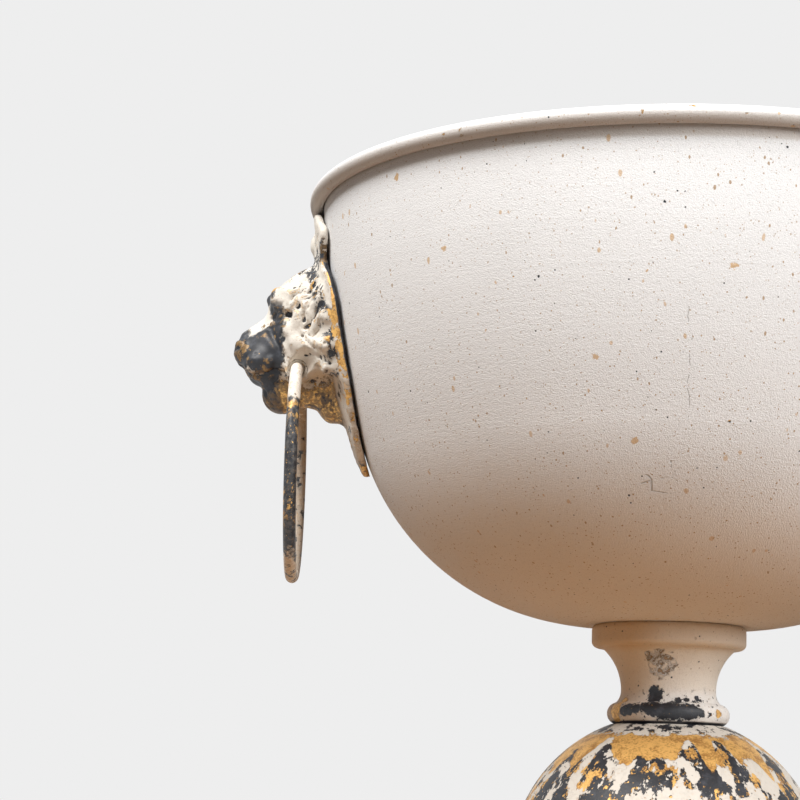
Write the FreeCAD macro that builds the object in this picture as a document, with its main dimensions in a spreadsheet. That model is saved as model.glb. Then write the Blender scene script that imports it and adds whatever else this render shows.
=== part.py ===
import FreeCAD
import Part
import Sketcher
import math
import os

# Footed metal flowerpot with two lion masks that carry hanging rings.
# Millimetres and degrees, +Z up, origin under the middle of the foot, handles on the X axis.

SIZES = {
    # foot
    "foot_height": 78.0,
    "foot_seat_radius": 23.8,
    "foot_wall": 3.0,
    "foot_top_wall": 6.0,
    "foot_dome_radius": 65.0,
    "foot_dome_angle": 78.0,
    "foot_cove_radius": 11.0,
    "foot_step_ledge": 4.1,
    "foot_step_drop": 3.8,
    "foot_edge_radius": 10.0,
    # stem
    "stem_height": 41.0,
    "stem_bead_seat_radius": 21.6,
    "stem_bead_height": 9.0,
    "stem_neck_radius": 19.6,
    "stem_neck_fillet": 7.25,
    "stem_cove_radius": 23.0,
    "collar_radius": 32.0,
    "collar_height": 9.5,
    "collar_round": 2.5,
    # bowl
    "bowl_flat_margin": 0.25,
    "bowl_knuckle_radius": 102.6,
    "bowl_wall_radius": 328.0,
    "bowl_knuckle_angle": 68.8,
    "bowl_mouth_angle": 88.5,
    "bowl_wall": 1.2,
    "rim_wire_radius": 2.0,
    "rim_wire_clearance": 0.3,
    "rim_curl_angle": 300.0,
    # centre bolt through bowl, stem and foot
    "bolt_radius": 5.0,
    "bolt_hole_clearance": 0.5,
    "bolt_thread_clearance": 0.05,
    "bolt_head_radius": 9.2,
    "bolt_head_height": 6.4,
    "bolt_end": 4.0,
    "nut_height": 8.0,
    "washer_radius": 15.0,
    "washer_height": 2.0,
    "gasket_radius": 18.0,
    "gasket_height": 2.0,
    # lion masks
    "mask_height": 113.0,
    "mask_width": 74.0,
    "mask_rim_gap": 0.3,
    "mask_wall_gap": 1.0,
    "mask_plate": 3.0,
    "head_projection": 44.5,
    "hinge_reach": 15.8,
    "hinge_drop": 11.5,
    "cheek_boss_radius": 5.6,
    "cheek_recess_clearance": 1.2,
    "cheek_recess_radius": 13.0,
    "cheek_recess_depth": 15.0,
    # rings
    "ring_radius": 44.5,
    "ring_wire_radius": 2.6,
    "ring_bend_radius": 6.0,
    "ring_end_angle": 26.0,
    "ring_side_play": 1.2,
    "ring_pin_length": 8.0,
    "ring_pin_end_gap": 0.8,
    "ring_pivot_clearance": 0.06,
    # mask screws
    "screw_radius": 2.5,
    "screw_thread": 9.0,
    "screw_end_gap": 1.0,
    "screw_head_radius": 4.5,
    "screw_head_height": 3.2,
    "screw_hole_clearance": 0.3,
    "screw_thread_clearance": 0.05,
    "screw_washer_radius": 6.0,
    "screw_washer_height": 1.0,
    "screw_seat_gap": 0.18,
    "screw_upper_rise": 25.0,
    "screw_lower_drop": 15.0,
    "boss_radius": 5.0,
    "boss_length": 13.0,
    # how far a cutting tool runs past what it cuts
    "overrun": 2.0,
}

# Shield outline of the mask, from its lower point up one side to its top point:
# shares of mask_width and mask_height, then the arc to the next point as a share of
# its chord and the way it turns (1 is convex, -1 is hollow).
SHIELD_SHARES = [
    (0.0, -0.480, 1.05, 1),
    (0.5, 0.053, 0.90, 1),
    (0.420, 0.250, 0.92, -1),
    (0.345, 0.314, 0.80, 1),
    (0.420, 0.398, 1.60, 1),
    (0.0, 0.520, 0.95, -1),
]

# Balls of the head: place as shares of head_projection, mask_width and mask_height,
# then the radius as a share of head_projection.
HEAD_SHARES = {
    "skull": (0.135, 0.0, 0.102, 0.546),
    "chin": (0.510, 0.0, -0.173, 0.193),
    "finial": (0.128, 0.0, 0.401, 0.166),
    "throat": (0.005, 0.0, -0.212, 0.160),
}
PAIRED_HEAD_SHARES = {
    "brow": (0.548, 0.047, 0.165, 0.124),
    "temple": (0.520, 0.135, 0.163, 0.130),
    "cheek": (0.151, 0.155, -0.008, 0.303),
    "lip": (0.701, 0.078, -0.065, 0.184),
    "nostril": (0.880, 0.043, -0.018, 0.112),
    "ear": (0.175, 0.290, 0.185, 0.118),
}
# Tapered forms of the head: start as shares of head_projection and mask_height, then length,
# thick end and thin end as shares of head_projection, and the lean from upright in degrees.
TAPER_SHARES = {
    "bridge": (0.488, 0.102, 0.448, 0.157, 0.110, 120.0),
    "snout": (0.421, -0.010, 0.528, 0.410, 0.124, 94.0),
    "jaw": (-0.135, -0.155, 0.520, 0.247, 0.135, 91.0),
}
# Locks of the mane: centre and start of the fan as shares like those above, then length,
# thick end and thin end as shares of head_projection.
MANE_LOCKS = 13
MANE_SPREAD = 240.0
MANE_CENTRE_SHARES = (0.080, 0.020)
MANE_RING_SHARES = (0.243, 0.130)
MANE_LOCK_SHARES = (0.405, 0.165, 0.050)

# The bead of the stem is a little more than a half round.
BEAD_ARC_SHARE = 0.51

X_AXIS = FreeCAD.Vector(1, 0, 0)
Y_AXIS = FreeCAD.Vector(0, 1, 0)
Z_AXIS = FreeCAD.Vector(0, 0, 1)
ORIGIN = FreeCAD.Vector(0, 0, 0)

doc = FreeCAD.newDocument("flowerpot")
sheet = doc.addObject("Spreadsheet::Sheet", "Sizes")
for row, (alias, number) in enumerate(SIZES.items(), start=1):
    sheet.set(f"A{row}", alias.replace("_", " "))
    sheet.set(f"B{row}", str(number))
    sheet.setAlias(f"B{row}", alias)
doc.recompute()


class Size:
    """A number that also knows the sheet formula it comes from."""

    def __init__(self, value, formula):
        self.value = value
        self.formula = formula

    def __add__(self, other):
        other = as_size(other)
        return Size(self.value + other.value, f"({self.formula} + {other.formula})")

    def __sub__(self, other):
        other = as_size(other)
        return Size(self.value - other.value, f"({self.formula} - {other.formula})")

    def __mul__(self, other):
        other = as_size(other)
        return Size(self.value * other.value, f"({self.formula} * {other.formula})")

    def __truediv__(self, other):
        other = as_size(other)
        return Size(self.value / other.value, f"({self.formula} / {other.formula})")

    __radd__ = __add__
    __rmul__ = __mul__

    def __rsub__(self, other):
        return as_size(other) - self

    def __neg__(self):
        return Size(-self.value, f"(-1 * {self.formula})")


def as_size(thing):
    return thing if isinstance(thing, Size) else Size(float(thing), f"({float(thing)!r})")


def cell(alias):
    return Size(float(sheet.get(alias)), f"Sizes.{alias}")


def root(size):
    return Size(math.sqrt(size.value), f"sqrt({size.formula})")


def sine(degrees):
    degrees = as_size(degrees)
    return Size(math.sin(math.radians(degrees.value)), f"sin({degrees.formula})")


def cosine(degrees):
    degrees = as_size(degrees)
    return Size(math.cos(math.radians(degrees.value)), f"cos({degrees.formula})")


def chord(start, end):
    across = end[0] - start[0]
    along = end[1] - start[1]
    return root(across * across + along * along)


NOTHING = as_size(0)


def bind(thing, **sizes):
    """Tie properties of a document object to the sheet."""
    for name, size in sizes.items():
        thing.setExpression(name, as_size(size).formula)


def place(thing, x=NOTHING, y=NOTHING, z=NOTHING, axis=Z_AXIS, degrees=0):
    thing.Placement = FreeCAD.Placement(ORIGIN, FreeCAD.Rotation(axis, degrees))
    thing.setExpression("Placement.Base.x", as_size(x).formula)
    thing.setExpression("Placement.Base.y", as_size(y).formula)
    thing.setExpression("Placement.Base.z", as_size(z).formula)
    return thing


def new_body(name, label):
    body = doc.addObject("PartDesign::Body", name)
    body.Label = label
    return body


def origin_plane(body, role):
    return next(item for item in body.Origin.OriginFeatures if item.Role == role)


def arc_between(start, end, radius, turn):
    """The minor arc from start to end; turn 1 bends to the left, -1 to the right."""
    along = end - start
    half = along.Length / 2
    left = FreeCAD.Vector(-along.y, along.x, 0) / along.Length
    centre = start + along / 2 + left * turn * math.sqrt(max(radius ** 2 - half ** 2, 0))
    first, last = (start, end) if turn > 0 else (end, start)
    angles = [math.atan2(point.y - centre.y, point.x - centre.x) for point in (first, last)]
    if angles[1] < angles[0]:
        angles[1] += 2 * math.pi
    return Part.ArcOfCircle(Part.Circle(centre, Z_AXIS, radius), *angles)


def outline(body, name, role, points, arcs):
    """A closed sketch through points; arcs gives the sides that are round, by number."""
    sketch = body.newObject("Sketcher::SketchObject", name)
    sketch.AttachmentSupport = (origin_plane(body, role), [""])
    sketch.MapMode = "FlatFace"
    spots = [FreeCAD.Vector(x.value, y.value, 0) for x, y in points]
    ends = []
    for side, start in enumerate(spots):
        end = spots[(side + 1) % len(spots)]
        if side in arcs:
            radius, turn = arcs[side]
            geometry = sketch.addGeometry(arc_between(start, end, radius.value, turn))
            fixed = sketch.addConstraint(Sketcher.Constraint("Radius", geometry, radius.value))
            sketch.setExpression(f"Constraints[{fixed}]", radius.formula)
            ends.append((geometry, 1, 2) if turn > 0 else (geometry, 2, 1))
        else:
            ends.append((sketch.addGeometry(Part.LineSegment(start, end)), 1, 2))
    for side, (geometry, _, last) in enumerate(ends):
        following, next_first, _ = ends[(side + 1) % len(ends)]
        sketch.addConstraint(Sketcher.Constraint("Coincident", geometry, last, following, next_first))
    for (x, y), (geometry, first, _) in zip(points, ends):
        for kind, axis_line, size in (("DistanceX", -2, x), ("DistanceY", -1, y)):
            if size.value == 0:
                sketch.addConstraint(Sketcher.Constraint("PointOnObject", geometry, first, axis_line))
                continue
            fixed = sketch.addConstraint(Sketcher.Constraint(kind, -1, 1, geometry, first, size.value))
            sketch.setExpression(f"Constraints[{fixed}]", size.formula)
    return sketch


def turned(name, label, points, arcs):
    """A solid of revolution about Z from an outline in the XZ plane."""
    body = new_body(name, label)
    sketch = outline(body, name + "_outline", "XZ_Plane", points, arcs)
    spin = body.newObject("PartDesign::Revolution", name + "_turned")
    spin.Profile = sketch
    spin.ReferenceAxis = (sketch, ["V_Axis"])
    spin.Angle = 360
    return body


def cylinder(name, radius, height):
    thing = doc.addObject("Part::Cylinder", name)
    bind(thing, Radius=radius, Height=height)
    return thing


def hexagon(name, radius, height):
    thing = doc.addObject("Part::Prism", name)
    thing.Polygon = 6
    bind(thing, Circumradius=radius, Height=height)
    return thing


def fused(name, shapes, label=None):
    thing = doc.addObject("Part::MultiFuse", name)
    thing.Shapes = shapes
    thing.Label = label or name
    return thing


def cut(name, base, tool, label=None):
    thing = doc.addObject("Part::Cut", name)
    thing.Base = base
    thing.Tool = tool
    thing.Label = label or name
    return thing


def mirrored(name, source, normal, label=None):
    thing = doc.addObject("Part::Mirroring", name)
    thing.Source = source
    thing.Base = ORIGIN
    thing.Normal = normal
    thing.Label = label or name
    return thing


def grouped(name, shapes, label):
    thing = doc.addObject("Part::Compound", name)
    thing.Links = shapes
    thing.Label = label
    return thing


overrun = cell("overrun")
foot_top = cell("foot_height")
bowl_floor = foot_top + cell("stem_height")
bolt_hole = cell("bolt_radius") + cell("bolt_hole_clearance")

# The bowl's outer wall is two tangent arcs: the knuckle and the long wall above it.
flat_radius = cell("collar_radius") + cell("bowl_flat_margin")
knuckle_radius = cell("bowl_knuckle_radius")
wall_radius = cell("bowl_wall_radius")
knuckle_angle = cell("bowl_knuckle_angle")
mouth_angle = cell("bowl_mouth_angle")
knuckle_centre = (flat_radius, bowl_floor + knuckle_radius)
wall_centre = (
    knuckle_centre[0] + (knuckle_radius - wall_radius) * sine(knuckle_angle),
    knuckle_centre[1] - (knuckle_radius - wall_radius) * cosine(knuckle_angle),
)
curl_inside = cell("rim_wire_radius") + cell("rim_wire_clearance")
curl_outside = curl_inside + cell("bowl_wall")
curl_centre = (
    wall_centre[0] + (wall_radius + curl_inside) * sine(mouth_angle),
    wall_centre[1] - (wall_radius + curl_inside) * cosine(mouth_angle),
)


def on_knuckle(offset, angle):
    reach = knuckle_radius + offset
    return knuckle_centre[0] + reach * sine(angle), knuckle_centre[1] - reach * cosine(angle)


def on_wall(offset, angle):
    reach = wall_radius + offset
    return wall_centre[0] + reach * sine(angle), wall_centre[1] - reach * cosine(angle)


def on_curl(radius, swept):
    angle = mouth_angle + 90 - swept
    return curl_centre[0] + radius * cosine(angle), curl_centre[1] + radius * sine(angle)


def make_foot():
    wall = cell("foot_wall")
    dome = cell("foot_dome_radius")
    inner_dome = dome - wall
    cove = cell("foot_cove_radius")
    edge = cell("foot_edge_radius")
    angle = cell("foot_dome_angle")
    seat = cell("foot_seat_radius")
    roof = foot_top - cell("foot_top_wall")
    dome_centre = foot_top - root(dome * dome - seat * seat)
    cove_centre = ((dome + cove) * sine(angle), dome_centre + (dome + cove) * cosine(angle))
    ledge = cove_centre[1] - cove
    step = cove_centre[0] + cell("foot_step_ledge")
    edge_top = ledge - cell("foot_step_drop")
    edge_low = edge_top - edge
    roof_radius = root(inner_dome * inner_dome - (roof - dome_centre) * (roof - dome_centre))
    points = [
        (bolt_hole, roof),
        (roof_radius, roof),
        (inner_dome * sine(angle), dome_centre + inner_dome * cosine(angle)),
        (cove_centre[0], ledge - wall),
        (step - wall, ledge - wall),
        (step - wall, edge_top - wall),
        (step, edge_top - wall),
        (step + edge - wall, edge_low),
        (step + edge - wall, NOTHING),
        (step + edge, NOTHING),
        (step + edge, edge_low),
        (step, edge_top),
        (step, ledge),
        (cove_centre[0], ledge),
        (dome * sine(angle), dome_centre + dome * cosine(angle)),
        (seat, foot_top),
        (bolt_hole, foot_top),
    ]
    arcs = {
        1: (inner_dome, -1),
        2: (cove + wall, 1),
        6: (edge - wall, -1),
        10: (edge, 1),
        13: (cove, -1),
        14: (dome, 1),
    }
    return turned("foot", "foot", points, arcs)


def make_stem():
    bead_seat = cell("stem_bead_seat_radius")
    bead_height = cell("stem_bead_height")
    neck = cell("stem_neck_radius")
    fillet = cell("stem_neck_fillet")
    cove = cell("stem_cove_radius")
    collar = cell("collar_radius")
    rounding = cell("collar_round")
    pinch = fillet - (bead_seat - neck)
    neck_level = foot_top + bead_height + root(fillet * fillet - pinch * pinch)
    collar_low = bowl_floor - cell("collar_height")
    cove_rise = collar_low - neck_level
    cove_top = neck + cove - root(cove * cove - cove_rise * cove_rise)
    points = [
        (bolt_hole, foot_top),
        (bead_seat, foot_top),
        (bead_seat, foot_top + bead_height),
        (neck, neck_level),
        (cove_top, collar_low),
        (collar - rounding, collar_low),
        (collar, collar_low + rounding),
        (collar, bowl_floor - rounding),
        (collar - rounding, bowl_floor),
        (bolt_hole, bowl_floor),
    ]
    arcs = {
        1: (BEAD_ARC_SHARE * bead_height, 1),
        2: (fillet, -1),
        3: (cove, -1),
        5: (rounding, 1),
        7: (rounding, 1),
    }
    return turned("stem", "stem", points, arcs)


def make_bowl_shell():
    """The spun bowl with its edge curled outward round a wire."""
    wall = cell("bowl_wall")
    sweep = cell("rim_curl_angle")
    points = [
        (bolt_hole, bowl_floor),
        (flat_radius, bowl_floor),
        on_knuckle(NOTHING, knuckle_angle),
        on_wall(NOTHING, mouth_angle),
        on_curl(curl_inside, sweep / 2),
        on_curl(curl_inside, sweep),
        on_curl(curl_outside, sweep),
        on_curl(curl_outside, sweep / 2),
        on_wall(-wall, mouth_angle),
        on_knuckle(-wall, knuckle_angle),
        (flat_radius, bowl_floor + wall),
        (bolt_hole, bowl_floor + wall),
    ]
    arcs = {
        1: (knuckle_radius, 1),
        2: (wall_radius, 1),
        3: (curl_inside, -1),
        4: (curl_inside, -1),
        6: (curl_outside, 1),
        7: (curl_outside, 1),
        8: (wall_radius - wall, -1),
        9: (knuckle_radius - wall, -1),
    }
    return turned("bowl_shell", "bowl shell", points, arcs)


def make_rim_wire():
    wire = doc.addObject("Part::Torus", "rim_wire")
    bind(wire, Radius1=curl_centre[0], Radius2=cell("rim_wire_radius"))
    wire.Label = "rim_wire"
    return place(wire, z=curl_centre[1])


def make_centre_bolt():
    """Gasket, washer and bolt head on the bowl's floor; washer and nut under the foot's roof."""
    wall_top = bowl_floor + cell("bowl_wall")
    washer = cell("washer_height")
    gasket_top = wall_top + cell("gasket_height")
    head_seat = gasket_top + washer
    roof = foot_top - cell("foot_top_wall")
    nut_top = roof - washer
    nut_low = nut_top - cell("nut_height")
    bolt_low = nut_low - cell("bolt_end")
    head = place(hexagon("bolt_head", cell("bolt_head_radius"), cell("bolt_head_height")), z=head_seat)
    shank = place(cylinder("bolt_shank", cell("bolt_radius"), head_seat - bolt_low), z=bolt_low)
    pieces = [fused("centre_bolt", [head, shank])]

    def ring_plate(label, blank, hole, base, height):
        bore = place(cylinder(label + "_bore", hole, height + 2 * overrun), z=base - overrun)
        pieces.append(cut(label, place(blank, z=base), bore))

    thread = cell("bolt_radius") + cell("bolt_thread_clearance")
    nut = hexagon("nut_blank", cell("bolt_head_radius"), cell("nut_height"))
    ring_plate("foot_nut", nut, thread, nut_low, cell("nut_height"))
    for label, radius, base, height in (
        ("bowl_gasket", cell("gasket_radius"), wall_top, cell("gasket_height")),
        ("bowl_washer", cell("washer_radius"), gasket_top, washer),
        ("foot_washer", cell("washer_radius"), nut_top, washer),
    ):
        ring_plate(label, cylinder(label + "_blank", radius, height), bolt_hole, base, height)
    return pieces


# The masks hang just under the rim; their places are measured from the wall behind them.
mask_height = cell("mask_height")
mask_width = cell("mask_width")
projection = cell("head_projection")
mask_top = curl_centre[1] - curl_outside - cell("mask_rim_gap")
mask_level = mask_top - SHIELD_SHARES[-1][1] * mask_height


def wall_slope(level):
    """Sine and cosine of the outward normal of the wall at a height."""
    rise = (wall_centre[1] - level) / wall_radius
    return root(1 - rise * rise), rise


mask_reach = wall_centre[0] + wall_radius * wall_slope(mask_level)[0]
hinge = (mask_reach + cell("hinge_reach"), mask_level - cell("hinge_drop"))
bend_reach = cell("ring_radius") - cell("ring_bend_radius")
pin_reach = bend_reach * sine(cell("ring_end_angle"))
cheek_reach = pin_reach - cell("ring_side_play")


def along_wall_normal(thing, level, offset):
    """Stand a piece on the wall at a height, its own Z along the outward normal."""
    across, rise = wall_slope(level)
    reach = wall_radius + offset
    place(thing, wall_centre[0] + reach * across, NOTHING, wall_centre[1] - reach * rise, Y_AXIS)
    thing.setExpression("Placement.Rotation.Angle", f"180 deg - acos({rise.formula})")
    return thing


def screw_levels():
    return {
        "upper": mask_level + cell("screw_upper_rise"),
        "lower": mask_level - cell("screw_lower_drop"),
    }


def wall_core(name, offset):
    """The space inside the bowl's outer wall, grown outward by an offset."""
    points = [
        (NOTHING, bowl_floor - offset),
        (flat_radius, bowl_floor - offset),
        on_knuckle(offset, knuckle_angle),
        on_wall(offset, mouth_angle),
        (NOTHING, on_wall(offset, mouth_angle)[1]),
    ]
    arcs = {1: (knuckle_radius + offset, 1), 2: (wall_radius + offset, 1)}
    return turned(name, name, points, arcs)


def make_shield():
    """Back plate of the mask: a pointed shield that follows the wall."""
    half = [(share[0] * mask_width, mask_level + share[1] * mask_height) for share in SHIELD_SHARES]
    points = half + [(-y, z) for y, z in reversed(half[1:-1])]
    bows = [share[2:] for share in SHIELD_SHARES[:-1]]
    arcs = {}
    for side, (bow_share, turn) in enumerate(bows + bows[::-1]):
        ends = points[side], points[(side + 1) % len(points)]
        arcs[side] = (bow_share * chord(*ends), turn)
    body = new_body("shield_blank", "shield blank")
    pad = body.newObject("PartDesign::Pad", "shield_pad")
    pad.Profile = outline(body, "shield_outline", "YZ_Plane", points, arcs)
    bind(pad, Length=mask_reach + projection)
    shield = doc.addObject("Part::Common", "shield")
    shield.Base = body
    shield.Tool = wall_core("plate_core", cell("mask_wall_gap") + cell("mask_plate"))
    return shield


def on_head(thing, x, y, z, axis=Z_AXIS, degrees=180):
    """Put a form of the head at its shares of the mask's sizes."""
    return place(thing, mask_reach + x * projection, y * mask_width, mask_level + z * mask_height,
                 axis, degrees)


def ball(name, x, y, z, radius):
    form = doc.addObject("Part::Sphere", name)
    bind(form, Radius=radius * projection)
    return on_head(form, x, y, z)


def taper(name, length, thick, thin):
    form = doc.addObject("Part::Cone", name)
    bind(form, Radius1=thick * projection, Radius2=thin * projection, Height=length * projection)
    return form


def mane_lock(name, angle):
    """One lock of the mane: a taper that leaves the head along the plate."""
    out = (math.sin(math.radians(angle)), math.cos(math.radians(angle)))
    lock = taper(name, *MANE_LOCK_SHARES)
    start = mask_level + (MANE_CENTRE_SHARES[1] + MANE_RING_SHARES[1] * out[1]) * mask_height
    middle = start + MANE_LOCK_SHARES[0] * out[1] / 2 * projection
    reach = wall_centre[0] + wall_radius * wall_slope(middle)[0]
    return place(lock, reach + MANE_CENTRE_SHARES[0] * projection, MANE_RING_SHARES[0] * out[0] * mask_width,
                 start, X_AXIS, -angle)


def head_forms():
    forms = [ball(name, *shares) for name, shares in HEAD_SHARES.items()]
    for name, (x, y, z, radius) in PAIRED_HEAD_SHARES.items():
        forms += [ball(f"{name}_near", x, -y, z, radius), ball(f"{name}_far", x, y, z, radius)]
    for name, (x, z, length, thick, thin, lean) in TAPER_SHARES.items():
        forms.append(on_head(taper(name, length, thick, thin), x, 0.0, z, Y_AXIS, lean))
    for lock in range(MANE_LOCKS):
        forms.append(mane_lock(f"mane_lock_{lock}", MANE_SPREAD * (lock / (MANE_LOCKS - 1) - 1 / 2)))
    return forms


def make_mask():
    boss = cylinder("cheek_boss", cell("cheek_boss_radius"), 2 * cheek_reach)
    place(boss, hinge[0], cheek_reach, hinge[1], X_AXIS, 90)
    blank = fused("mask_blank", [make_shield(), boss] + head_forms())
    hollow = cut("mask_hollow", blank, wall_core("gap_core", cell("mask_wall_gap")))
    seats = []
    bores = []
    for name, level in screw_levels().items():
        seat = cylinder(f"{name}_boss", cell("boss_radius"), cell("boss_length"))
        seats.append(along_wall_normal(seat, level, cell("screw_seat_gap")))
        thread = cell("screw_radius") + cell("screw_thread_clearance")
        depth = cell("screw_thread") + cell("screw_end_gap") + overrun
        bore = cylinder(f"{name}_thread", thread, depth)
        bores.append(along_wall_normal(bore, level, -overrun))
    pin = cell("ring_wire_radius") + cell("ring_pivot_clearance")
    pin_end = pin_reach - cell("ring_pin_length") - cell("ring_pin_end_gap")
    for side, sign, turn in (("near", -1, 90), ("far", 1, -90)):
        bore = cylinder(f"pin_bore_{side}", pin, pin_reach + overrun - pin_end)
        bores.append(place(bore, hinge[0], sign * pin_end, hinge[1], X_AXIS, turn))
        recess = doc.addObject("Part::Cone", f"ring_recess_{side}")
        bind(recess, Radius1=cell("ring_wire_radius") + cell("cheek_recess_clearance"),
             Radius2=cell("cheek_recess_radius"), Height=cell("cheek_recess_depth"))
        bores.append(place(recess, hinge[0], sign * cheek_reach, hinge[1], X_AXIS, turn))
    solid = fused("mask_solid", [hollow] + seats)
    return cut("mask", solid, fused("mask_bores", bores), "lion_mask_right")


def make_ring():
    """A round bail whose two ends turn in and run in the cheeks of the mask."""
    radius = cell("ring_radius")
    wire = cell("ring_wire_radius")
    bend = cell("ring_bend_radius")
    angle = cell("ring_end_angle")
    bend_level = hinge[1] - bend
    centre = bend_level - bend_reach * cosine(angle)
    pin = cylinder("ring_pin", wire, cell("ring_pin_length"))
    place(pin, hinge[0], pin_reach - cell("ring_pin_length"), hinge[1], X_AXIS, -90)
    elbow = doc.addObject("Part::Torus", "ring_elbow")
    bind(elbow, Radius1=bend, Radius2=wire, Angle3=angle)
    place(elbow, hinge[0], pin_reach, bend_level)
    elbow.Placement.Rotation = FreeCAD.Rotation(Z_AXIS, Y_AXIS, -X_AXIS, "ZXY")
    hoop = doc.addObject("Part::Torus", "ring_hoop")
    bind(hoop, Radius1=radius, Radius2=wire, Angle3=180 - angle)
    place(hoop, hinge[0], NOTHING, centre)
    hoop.Placement.Rotation = FreeCAD.Rotation(-Z_AXIS, Y_AXIS, X_AXIS, "ZXY")
    half = fused("ring_half", [pin, elbow, hoop])
    return fused("ring", [half, mirrored("ring_other_half", half, Y_AXIS)], "ring_right")


def make_mask_screws():
    """Screws from inside the bowl into each mask, each on a washer."""
    wall = cell("bowl_wall")
    gap = cell("screw_seat_gap")
    washer = cell("screw_washer_height")
    head = cell("screw_head_height")
    hole = cell("screw_radius") + cell("screw_hole_clearance")
    screws = []
    washers = []
    for name, level in screw_levels().items():
        washer_seat = -wall - gap - washer
        cap = cylinder(f"{name}_screw_head", cell("screw_head_radius"), head)
        along_wall_normal(cap, level, washer_seat - head)
        shank = cylinder(f"{name}_screw_shank", cell("screw_radius"), cell("screw_thread") - washer_seat)
        along_wall_normal(shank, level, washer_seat)
        screws.append(fused(f"{name}_screw", [cap, shank]))
        blank = cylinder(f"{name}_washer_blank", cell("screw_washer_radius"), washer)
        along_wall_normal(blank, level, washer_seat)
        bore = cylinder(f"{name}_washer_bore", hole, washer + 2 * overrun)
        along_wall_normal(bore, level, washer_seat - overrun)
        washers.append(cut(f"{name}_washer", blank, bore))
    nodes = []
    for label, pieces in (("mask_screws", screws), ("mask_washers", washers)):
        others = [mirrored(piece.Name + "_left", piece, X_AXIS) for piece in pieces]
        nodes.append(grouped(label, pieces + others, label))
    return nodes


def make_bowl():
    """The bowl with the holes for the mask screws."""
    hole = cell("screw_radius") + cell("screw_hole_clearance")
    drills = []
    for name, level in screw_levels().items():
        drill = cylinder(f"{name}_wall_hole", hole, cell("bowl_wall") + 2 * overrun)
        drills.append(along_wall_normal(drill, level, -cell("bowl_wall") - overrun))
    drills += [mirrored(drill.Name + "_left", drill, X_AXIS) for drill in drills]
    return cut("bowl", make_bowl_shell(), fused("wall_holes", drills))


mask = make_mask()
ring = make_ring()
nodes = [make_foot(), make_stem(), make_bowl(), make_rim_wire()]
nodes += make_centre_bolt()
nodes += [mask, mirrored("mask_left", mask, X_AXIS, "lion_mask_left")]
nodes += [ring, mirrored("ring_left", ring, X_AXIS, "ring_left")]
nodes += make_mask_screws()
doc.recompute()

failed = [item.Name for item in doc.Objects if {"Invalid", "Error"} & set(item.State)]
if failed:
    raise RuntimeError(f"features that failed: {failed}")
for node in nodes:
    if node.Shape.isNull() or not node.Shape.isValid() or not node.Shape.Solids:
        raise RuntimeError(f"no sound solid for {node.Label}")

os.makedirs("parts", exist_ok=True)
for node in nodes:
    node.Shape.exportStep(f"parts/{node.Label}.step")
    box = node.Shape.BoundBox
    print(f"{node.Label}: {len(node.Shape.Solids)} solid(s), {node.Shape.Volume:.0f} mm3, "
          f"x {box.XMin:.1f} to {box.XMax:.1f}, y {box.YMin:.1f} to {box.YMax:.1f}, "
          f"z {box.ZMin:.1f} to {box.ZMax:.1f}")
print(f"hinge axis at x {hinge[0].value:.3f}, z {hinge[1].value:.3f}")
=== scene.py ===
"""Dresses a footed metal flowerpot: worn paint, carved lion masks, rings, floor, light and camera."""

import math

import bmesh
import bpy
import numpy as np
from bpy.props import FloatProperty, FloatVectorProperty, PointerProperty
from mathutils import Matrix, Vector, noise
from mathutils.kdtree import KDTree


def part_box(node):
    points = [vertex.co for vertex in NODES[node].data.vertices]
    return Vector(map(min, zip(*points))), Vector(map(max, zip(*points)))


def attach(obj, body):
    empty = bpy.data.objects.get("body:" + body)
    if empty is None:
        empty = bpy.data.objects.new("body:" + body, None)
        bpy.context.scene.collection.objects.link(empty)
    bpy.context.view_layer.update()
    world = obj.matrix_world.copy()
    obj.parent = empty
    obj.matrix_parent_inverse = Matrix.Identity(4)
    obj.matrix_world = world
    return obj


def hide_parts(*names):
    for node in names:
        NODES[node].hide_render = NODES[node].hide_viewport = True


bl_info = {
    "name": "Worn Flowerpot",
    "version": (1, 0, 0),
    "blender": (4, 5, 0),
    "location": "View3D > Sidebar > Flowerpot",
    "description": "Paints and dresses a footed flowerpot with lion masks and hanging rings",
    "category": "Object",
}

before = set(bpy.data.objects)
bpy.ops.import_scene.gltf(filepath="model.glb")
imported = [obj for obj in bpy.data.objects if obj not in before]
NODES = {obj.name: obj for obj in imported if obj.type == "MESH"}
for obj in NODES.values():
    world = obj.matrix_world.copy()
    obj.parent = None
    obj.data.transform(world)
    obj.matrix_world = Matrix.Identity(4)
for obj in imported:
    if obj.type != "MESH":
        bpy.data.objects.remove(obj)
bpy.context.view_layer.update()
MM = 0.001


def colour_property(name, default, description):
    return FloatVectorProperty(name=name, description=description, subtype="COLOR", size=3,
                               min=0.0, max=1.0, default=default)


def length_property(name, default, description):
    return FloatProperty(name=name, description=description, subtype="DISTANCE", unit="LENGTH",
                         default=default)


class PaintColours(bpy.types.PropertyGroup):
    """Colours of the coats of paint, from the top coat down."""

    white: colour_property("Bowl white", (0.85, 0.85, 0.85), "Top coat of the bowl")
    cream: colour_property("Cream", (0.82, 0.77, 0.69), "Thick top coat of the masks, stem and foot")
    # Brown that stands for dirt, and also for painted shade in hollows and on undersides.
    grime_and_shade: colour_property("Grime", (0.30, 0.20, 0.11), "Brown dirt in hollows and on undersides")
    # Tan for stains, and also the warm tint of painted shade on the stem and low on the bowl.
    rust: colour_property("Rust", (0.58, 0.35, 0.14), "Tan stains that come through the white")
    black: colour_property("Black", (0.018, 0.020, 0.025), "Black coat under the cream")
    # Worn black: wear, and a bluish painted sheen on the black coat.
    worn_black_and_sheen: colour_property("Worn black", (0.060, 0.066, 0.082), "Rubbed parts of the black coat")
    gold: colour_property("Gold", (0.78, 0.47, 0.15), "Gold paint on the metal")
    old_gold: colour_property("Old gold", (0.40, 0.20, 0.055), "Dull parts of the gold paint")


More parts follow.
